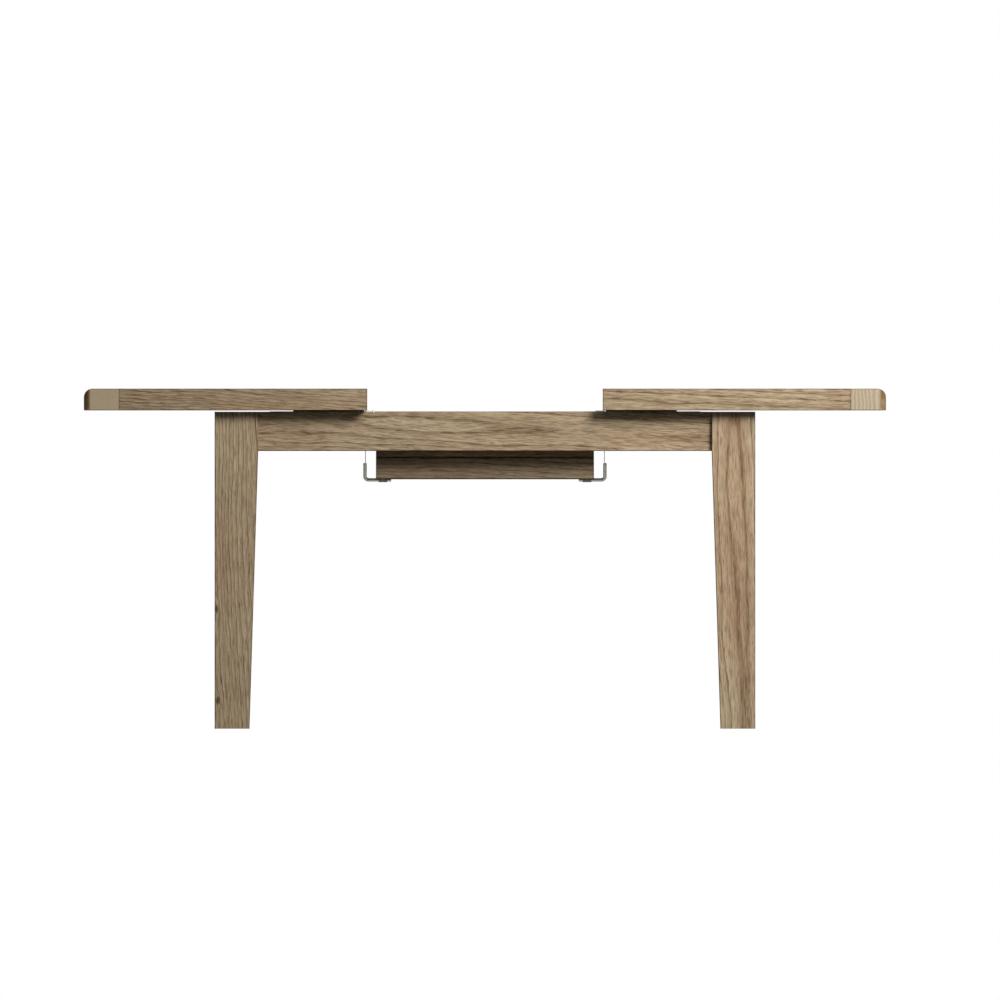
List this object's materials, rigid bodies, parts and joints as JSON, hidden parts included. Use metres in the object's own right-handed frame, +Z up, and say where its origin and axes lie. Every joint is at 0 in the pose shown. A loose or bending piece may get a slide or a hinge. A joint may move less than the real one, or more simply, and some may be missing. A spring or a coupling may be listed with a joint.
{
  "type": "extending dining table",
  "caption": "Rectangular oak dining table pulled open, with sliding top halves, tapered square legs and a folding leaf stored on swing arms under the gap.",
  "frame": {"origin": "on the floor under the middle of the table", "axes": "+X right along the table, -Y front, +Z up"},
  "size_m": [1.84, 0.85, 0.78],
  "materials": {
    "oak": "weathered oak, oiled matt",
    "frame_timber": "planed hardwood, unfinished",
    "zinc_steel": "zinc plated",
    "polished_steel": "polished round bar",
    "latch_steel": "plated pressed steel",
    "brass": "satin brass",
    "black_nylon": "moulded, matt",
    "white_nylon": "moulded, satin",
    "stop_rubber": "matt"
  },
  "bodies": {
    "frame": {"leg_front_left": "oak", "leg_front_right": "oak", "leg_back_left": "oak", "leg_back_right": "oak", "apron_front": "oak", "apron_back": "oak", "apron_left": "oak", "apron_right": "oak", "corner_blocks": "frame_timber", "hanger_bolts": "zinc_steel", "hanger_bolt_nuts": "zinc_steel", "cross_rail_left": "frame_timber", "cross_rail_right": "frame_timber", "slide_rail_front": "zinc_steel", "slide_rail_back": "zinc_steel", "slide_end_stops": "stop_rubber", "frame_screws": "zinc_steel", "glide_pads": "white_nylon", "arm_pivot_bolts": "zinc_steel", "arm_pivot_spacers": "white_nylon", "arm_stop_pins": "zinc_steel"},
    "left_top": {"left_top_planks": "oak", "left_top_end_board": "oak", "left_top_front_lipping": "oak", "left_top_back_lipping": "oak", "left_top_battens": "frame_timber", "left_top_screws": "zinc_steel", "left_slide_carriages": "black_nylon", "left_shoulder_screws": "zinc_steel"},
    "right_top": {"right_top_planks": "oak", "right_top_end_board": "oak", "right_top_front_lipping": "oak", "right_top_back_lipping": "oak", "right_top_battens": "frame_timber", "right_top_screws": "zinc_steel", "right_slide_carriages": "black_nylon", "right_shoulder_screws": "zinc_steel"},
    "front_arms": {"front_arm_left": "polished_steel", "front_arm_right": "polished_steel"},
    "back_arms": {"back_arm_left": "polished_steel", "back_arm_right": "polished_steel"},
    "leaf_lower": {"leaf_lower_planks": "oak", "leaf_lower_lipping": "oak", "leaf_arm_blocks": "frame_timber", "leaf_arm_saddles": "zinc_steel", "leaf_arm_screws": "zinc_steel", "leaf_lower_hinge_plates": "brass", "leaf_hinge_pins": "brass", "leaf_lower_hinge_screws": "brass", "leaf_lower_shoulder_screws": "zinc_steel"},
    "leaf_upper": {"leaf_upper_planks": "oak", "leaf_upper_lipping": "oak", "leaf_upper_hinge_plates": "brass", "leaf_upper_hinge_screws": "brass", "leaf_upper_shoulder_screws": "zinc_steel"},
    "left_latch_front_lever": {"left_latch_front": "latch_steel"},
    "left_latch_back_lever": {"left_latch_back": "latch_steel"},
    "leaf_lower_lever": {"leaf_lower_latch": "latch_steel"},
    "leaf_upper_lever": {"leaf_upper_latch": "latch_steel"}
  },
  "joints": [
    {"name": "left_top_slide", "type": "slide", "parent": "frame", "child": "left_top", "axis": [1, 0, 0], "range_m": [0, 0.27]},
    {"name": "right_top_slide", "type": "slide", "parent": "frame", "child": "right_top", "axis": [-1, 0, 0], "range_m": [0, 0.27]},
    {"name": "leaf_lift", "type": "hinge", "parent": "frame", "child": "front_arms", "pos_m": [0, -0.23159, 0.656], "axis": [-1, 0, 0], "range_deg": [-193.72, 0]},
    {"name": "back_arms_swing", "type": "hinge", "parent": "frame", "child": "back_arms", "pos_m": [0, -0.07159, 0.656], "axis": [-1, 0, 0], "range_deg": [-193.72, 0]},
    {"name": "leaf_level", "type": "hinge", "parent": "front_arms", "child": "leaf_lower", "pos_m": [0, -0.18957, 0.5708], "axis": [1, 0, 0], "range_deg": [-193.72, 0]},
    {"name": "leaf_unfold", "type": "hinge", "parent": "leaf_lower", "child": "leaf_upper", "pos_m": [0, 0.10306, 0.622], "axis": [1, 0, 0], "range_deg": [-180, 0]},
    {"name": "left_front_latch_turn", "type": "hinge", "parent": "left_top", "child": "left_latch_front_lever", "pos_m": [-0.302, -0.21263, 0.75], "axis": [0, 0, 1], "range_deg": [0, 90]},
    {"name": "left_back_latch_turn", "type": "hinge", "parent": "left_top", "child": "left_latch_back_lever", "pos_m": [-0.302, 0.21263, 0.75], "axis": [0, 0, 1], "range_deg": [0, 90]},
    {"name": "leaf_lower_latch_turn", "type": "hinge", "parent": "leaf_lower", "child": "leaf_lower_lever", "pos_m": [0.218, -0.10957, 0.592], "axis": [0, 0, 1], "range_deg": [0, 90]},
    {"name": "leaf_upper_latch_turn", "type": "hinge", "parent": "leaf_upper", "child": "leaf_upper_lever", "pos_m": [0.218, -0.10957, 0.652], "axis": [0, 0, -1], "range_deg": [0, 90]}
  ],
  "couplings": [
    {"joint": "back_arms_swing", "follows": "leaf_lift", "ratio": 1},
    {"joint": "leaf_level", "follows": "leaf_lift", "ratio": 1},
    {"joint": "leaf_unfold", "follows": "leaf_lift", "ratio": 0.92917}
  ]
}
